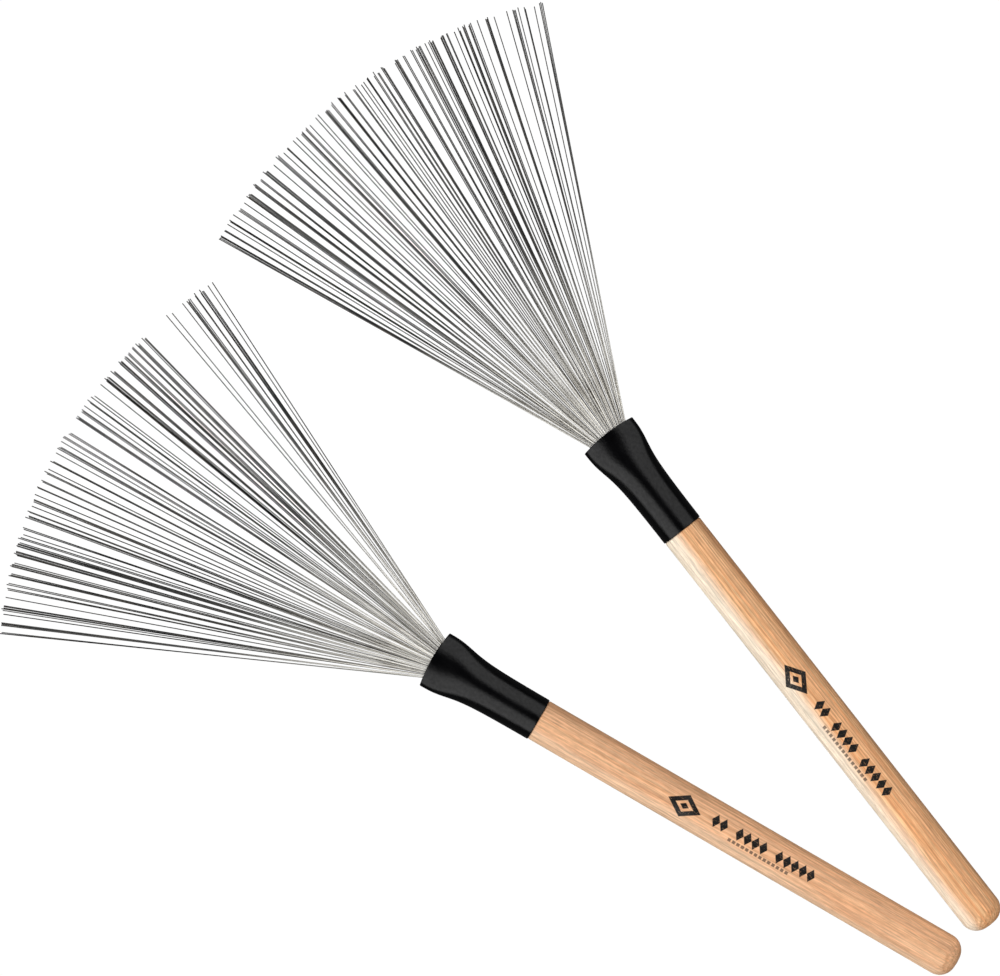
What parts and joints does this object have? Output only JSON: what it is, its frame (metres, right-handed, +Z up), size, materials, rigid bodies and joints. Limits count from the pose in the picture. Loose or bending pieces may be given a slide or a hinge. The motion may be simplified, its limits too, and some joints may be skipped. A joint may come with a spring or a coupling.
{
  "type": "wire drum brushes",
  "caption": "Pair of fixed wire drum brushes: turned wooden handles, black flared collars and flat fans of straight steel wires that flex.",
  "frame": {"origin": "under the middle of the pair's footprint, on the table the handles lie on", "axes": "+Z up off the table; +X and +Y along the longer and shorter side of the pair's footprint. Brush a's fan points to 128 degrees and brush b's to 149.85 degrees, anticlockwise from +X"},
  "size_m": [0.3172, 0.3079, 0.0142],
  "materials": {
    "handle_wood": "fine-sanded pale hickory with a thin satin lacquer",
    "collar_rubber": "smooth black rubber, semi-gloss",
    "tube_metal": "drawn tube, satin",
    "pin_steel": "ground wire rod",
    "wire_steel": "drawn spring-steel wire, satin"
  },
  "bodies": {
    "brush_a": {"handle_a": "handle_wood", "collar_a": "collar_rubber", "crimped_tube_a": "tube_metal", "handle_pin_a": "pin_steel", "loop_pin_a": "pin_steel", "hairpin_loops_inner_a": "wire_steel", "hairpin_loops_middle_a": "wire_steel", "hairpin_loops_outer_a": "wire_steel"},
    "fan_a": {"wire_legs_inner_a": "wire_steel", "wire_legs_middle_a": "wire_steel", "wire_legs_outer_a": "wire_steel"},
    "brush_b": {"handle_b": "handle_wood", "collar_b": "collar_rubber", "crimped_tube_b": "tube_metal", "handle_pin_b": "pin_steel", "loop_pin_b": "pin_steel", "hairpin_loops_inner_b": "wire_steel", "hairpin_loops_middle_b": "wire_steel", "hairpin_loops_outer_b": "wire_steel"},
    "fan_b": {"wire_legs_inner_b": "wire_steel", "wire_legs_middle_b": "wire_steel", "wire_legs_outer_b": "wire_steel"}
  },
  "joints": [
    {"name": "brush_b_lift", "type": "slide", "parent": "brush_a", "child": "brush_b", "axis": [0, 0, 1], "range_m": [0, 0.15]},
    {"name": "fan_a_flex", "type": "hinge", "parent": "brush_a", "child": "fan_a", "pos_m": [0.0339, 0.0171, 0.007], "axis": [0.788, 0.6157, 0], "range_deg": [-30, 30], "stiffness_Nm_per_rad": 0.23},
    {"name": "fan_b_flex", "type": "hinge", "parent": "brush_b", "child": "fan_b", "pos_m": [-0.0212, -0.0539, 0.007], "axis": [0.5023, 0.8647, 0], "range_deg": [-30, 30], "stiffness_Nm_per_rad": 0.23}
  ]
}
